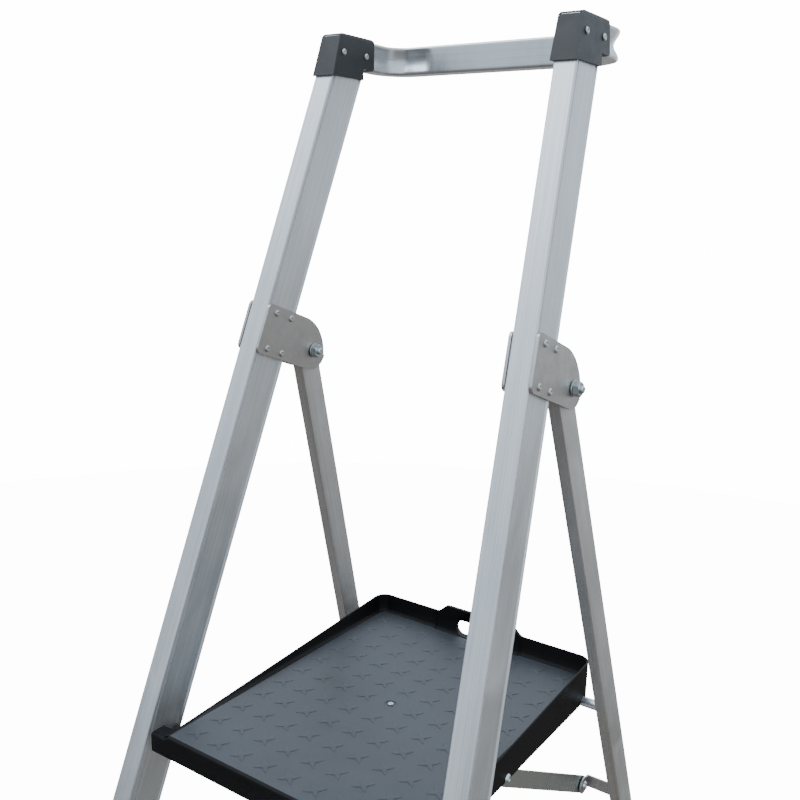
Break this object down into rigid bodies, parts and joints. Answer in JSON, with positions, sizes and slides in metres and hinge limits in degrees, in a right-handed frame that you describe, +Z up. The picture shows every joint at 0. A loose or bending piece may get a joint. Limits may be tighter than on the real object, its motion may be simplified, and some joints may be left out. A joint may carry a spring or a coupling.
{
  "type": "platform step ladder",
  "caption": "Folding step ladder with wide treads, a rimmed platform tray with a hand hole, and a bent guard rail joining the stile tops.",
  "frame": {"origin": "on the ground, midway between the front edge of the front shoes and the rear edge of the rear shoes, on the centre plane", "axes": "+Z up, +Y the way the user faces when climbing (towards the rear frame), +X to the user's right"},
  "size_m": [0.6514, 1.1342, 1.8705],
  "materials": {
    "mill_aluminium": "mill-finish extruded aluminium, fine drawing lines along the length",
    "dark_aluminium": "satin grey anodised aluminium extrusion",
    "zinc_steel": "bright zinc-plated pressed steel",
    "black_plastic": "moulded black polypropylene with a fine grain",
    "moulded_tray": "injection-moulded black polypropylene, satin, with raised stars on the floor",
    "rubber": "matt black rubber shoes"
  },
  "bodies": {
    "front_frame": {"stile_left": "mill_aluminium", "stile_right": "mill_aluminium", "front_foot_left": "rubber", "front_foot_right": "rubber", "cap_left": "black_plastic", "cap_right": "black_plastic", "cap_rivet_left_front": "zinc_steel", "cap_rivet_left_rear": "zinc_steel", "cap_rivet_right_front": "zinc_steel", "cap_rivet_right_rear": "zinc_steel", "top_rail": "mill_aluminium", "hinge_plate_left_outer": "zinc_steel", "hinge_plate_left_inner": "zinc_steel", "hinge_plate_right_outer": "zinc_steel", "hinge_plate_right_inner": "zinc_steel", "plate_rivet_left_1": "zinc_steel", "plate_rivet_left_2": "zinc_steel", "plate_rivet_left_3": "zinc_steel", "plate_rivet_left_4": "zinc_steel", "plate_rivet_right_1": "zinc_steel", "plate_rivet_right_2": "zinc_steel", "plate_rivet_right_3": "zinc_steel", "plate_rivet_right_4": "zinc_steel", "pivot_bolt_left": "zinc_steel", "pivot_bolt_right": "zinc_steel", "pivot_nut_left": "zinc_steel", "pivot_nut_right": "zinc_steel", "pivot_washer_left": "zinc_steel", "pivot_washer_right": "zinc_steel", "tread_1": "mill_aluminium", "tread_2": "mill_aluminium", "tread_3": "mill_aluminium", "platform_axle": "zinc_steel", "axle_spacer_left": "black_plastic", "axle_spacer_right": "black_plastic"},
    "rear_frame": {"rear_leg_left": "dark_aluminium", "rear_leg_right": "dark_aluminium", "pivot_bush_left": "black_plastic", "pivot_bush_right": "black_plastic", "rear_foot_left": "rubber", "rear_foot_right": "rubber", "stay_bracket_left": "zinc_steel", "stay_bracket_right": "zinc_steel", "stay_washer_left": "black_plastic", "stay_washer_right": "black_plastic", "stay_rivet_left": "zinc_steel", "stay_rivet_right": "zinc_steel", "rear_brace_upper": "dark_aluminium", "rear_brace_lower": "dark_aluminium", "platform_rest_rod": "zinc_steel"},
    "platform": {"platform_tray": "moulded_tray", "platform_stiffener": "zinc_steel", "platform_rivet": "zinc_steel", "stay_pin_left": "zinc_steel", "stay_pin_right": "zinc_steel"},
    "stay_left": {"stay_bar_left": "zinc_steel"},
    "stay_right": {"stay_bar_right": "zinc_steel"}
  },
  "joints": [
    {"name": "rear_fold", "type": "hinge", "parent": "front_frame", "child": "rear_frame", "pos_m": [0, 0.06114, 1.43191], "axis": [-1, 0, 0], "range_deg": [0, 36]},
    {"name": "platform_fold", "type": "hinge", "parent": "front_frame", "child": "platform", "pos_m": [0, -0.18354, 0.919], "axis": [1, 0, 0], "range_deg": [0, 65.6]},
    {"name": "stay_left_swing", "type": "hinge", "parent": "rear_frame", "child": "stay_left", "pos_m": [-0.19365, 0.26596, 0.762], "axis": [-1, 0, 0], "range_deg": [0, 34.6]},
    {"name": "stay_right_swing", "type": "hinge", "parent": "rear_frame", "child": "stay_right", "pos_m": [0.19365, 0.26596, 0.762], "axis": [-1, 0, 0], "range_deg": [0, 34.6]}
  ],
  "couplings": [
    {"joint": "platform_fold", "follows": "rear_fold", "ratio": 1.82},
    {"joint": "stay_left_swing", "follows": "rear_fold", "ratio": 0.96},
    {"joint": "stay_right_swing", "follows": "rear_fold", "ratio": 0.96}
  ]
}
